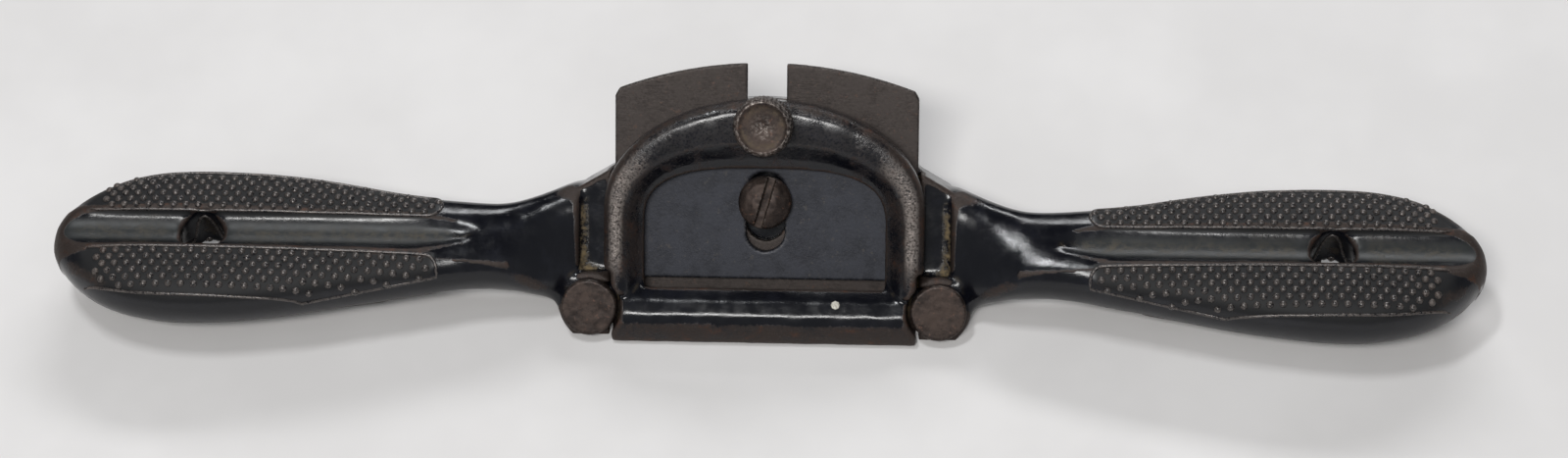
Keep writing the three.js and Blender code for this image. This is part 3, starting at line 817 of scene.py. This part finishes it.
def add_lights():
    add_light("front_softbox", (-0.15, -0.75, 1.15), (0, 0, 0), (0.55, 0.22), 9.5, (1, 0.99, 0.975))
    add_light("rear_softbox", (0.15, 0.95, 0.75), (0, 0, 0), (1.0, 0.16), 6.5, (0.97, 0.98, 1))
    add_light("top_strip", (-0.3, 0.12, 1.3), (0, 0, 0), (0.25, 0.12), 4.5, (0.96, 0.98, 1))
    world = bpy.data.worlds.new("world")
    bpy.context.scene.world = world
    world.use_nodes = True
    tree = world.node_tree
    direction = tree.nodes.new("ShaderNodeTexCoord").outputs["Generated"]
    split = tree.nodes.new("ShaderNodeSeparateXYZ")
    strength = tree.nodes.new("ShaderNodeMapRange")
    strength.interpolation_type = "SMOOTHSTEP"
    strength.inputs["From Min"].default_value = -0.5
    strength.inputs["From Max"].default_value = 0.5
    strength.inputs["To Min"].default_value = FRONT_GLOW
    strength.inputs["To Max"].default_value = REAR_GLOW
    tree.links.new(direction, split.inputs["Vector"])
    tree.links.new(split.outputs["Y"], strength.inputs["Value"])
    background = tree.nodes["Background"]
    background.inputs["Color"].default_value = (0.93, 0.96, 1, 1)
    tree.links.new(strength.outputs["Result"], background.inputs["Strength"])
    bpy.context.scene.view_settings.view_transform = "Standard"


# ---------------------------------------------------------------- the tool
add_camera()
add_lights()
add_floor()

body_finish = cast_finish("japanned_iron", 1.18)
toe_finish = cast_finish("worn_iron", 0.90)
body = object_of("cast_body", body_mesh(), body_finish, "casting", ["body_casting"])
body_tree = BVHTree.FromObject(body, bpy.context.evaluated_depsgraph_get())
for side in SIDES:
    for face in (1, -1):
        for row_side in SIDES:
            words = ("left" if side < 0 else "right", "upper" if face > 0 else "under")
            name = "_".join([*words, "front" if row_side < 0 else "rear", "chequering"])
            chequered_panel(name, body_tree, body_finish, side, face, row_side)

toe = object_of("cast_toe_section", toe_mesh(), toe_finish, "toe", ["toe_section"])
toe_tree = BVHTree.FromObject(toe, bpy.context.evaluated_depsgraph_get())
paint_speck(toe_tree, speck_finish())

cutter_finish = steel_finish(
    "cutter_steel",
    dark=(0.030, 0.025, 0.023),
    light=(0.078, 0.066, 0.061),
    rust=(0.075, 0.036, 0.022),
    rough_low=0.48,
    rough_high=0.66,
    brushed=(0.2, 3, 1),
)
cap_finish = steel_finish(
    "cap_steel",
    dark=(0.012, 0.013, 0.018),
    light=(0.030, 0.032, 0.041),
    rust=(0.036, 0.030, 0.027),
    rough_low=0.40,
    rough_high=0.55,
    brushed=(3, 0.25, 1),
    metal=0.5,
)
screw_finish = steel_finish(
    "screw_steel",
    dark=(0.022, 0.016, 0.014),
    light=(0.065, 0.046, 0.038),
    rust=(0.10, 0.045, 0.026),
    rough_low=0.40,
    rough_high=0.60,
    metal=0.7,
    glints=0.8,
)
spring_finish = steel_finish(
    "spring_steel",
    dark=(0.10, 0.09, 0.08),
    light=(0.2, 0.18, 0.16),
    rust=(0.12, 0.06, 0.03),
    rough_low=0.3,
    rough_high=0.5,
    metal=0.9,
)
object_of("ground_cutter", steel_mesh("cutter", 0.25, 3), cutter_finish, "cutter", ["cutter"])
object_of("flat_cap_iron", steel_mesh("cap_iron", 0.25, 3), cap_finish, "cap", ["cap_iron"])
head = steel_mesh("cap_screw", 0.11, 5, 0.06)
object_of("slotted_cap_screw", head, screw_finish, "cap_screw", ["cap_screw"])
for word in ("left", "right"):
    node = word + "_retaining_screw"
    head = steel_mesh(node, 0.13, 4, 0.04)
    object_of(node + "_head", head, screw_finish, "casting", [node])
object_of(
    "knurled_thumbscrew", thumbscrew_mesh(), screw_finish, "thumbscrew", ["mouth_thumbscrew"]
)
add_spring()
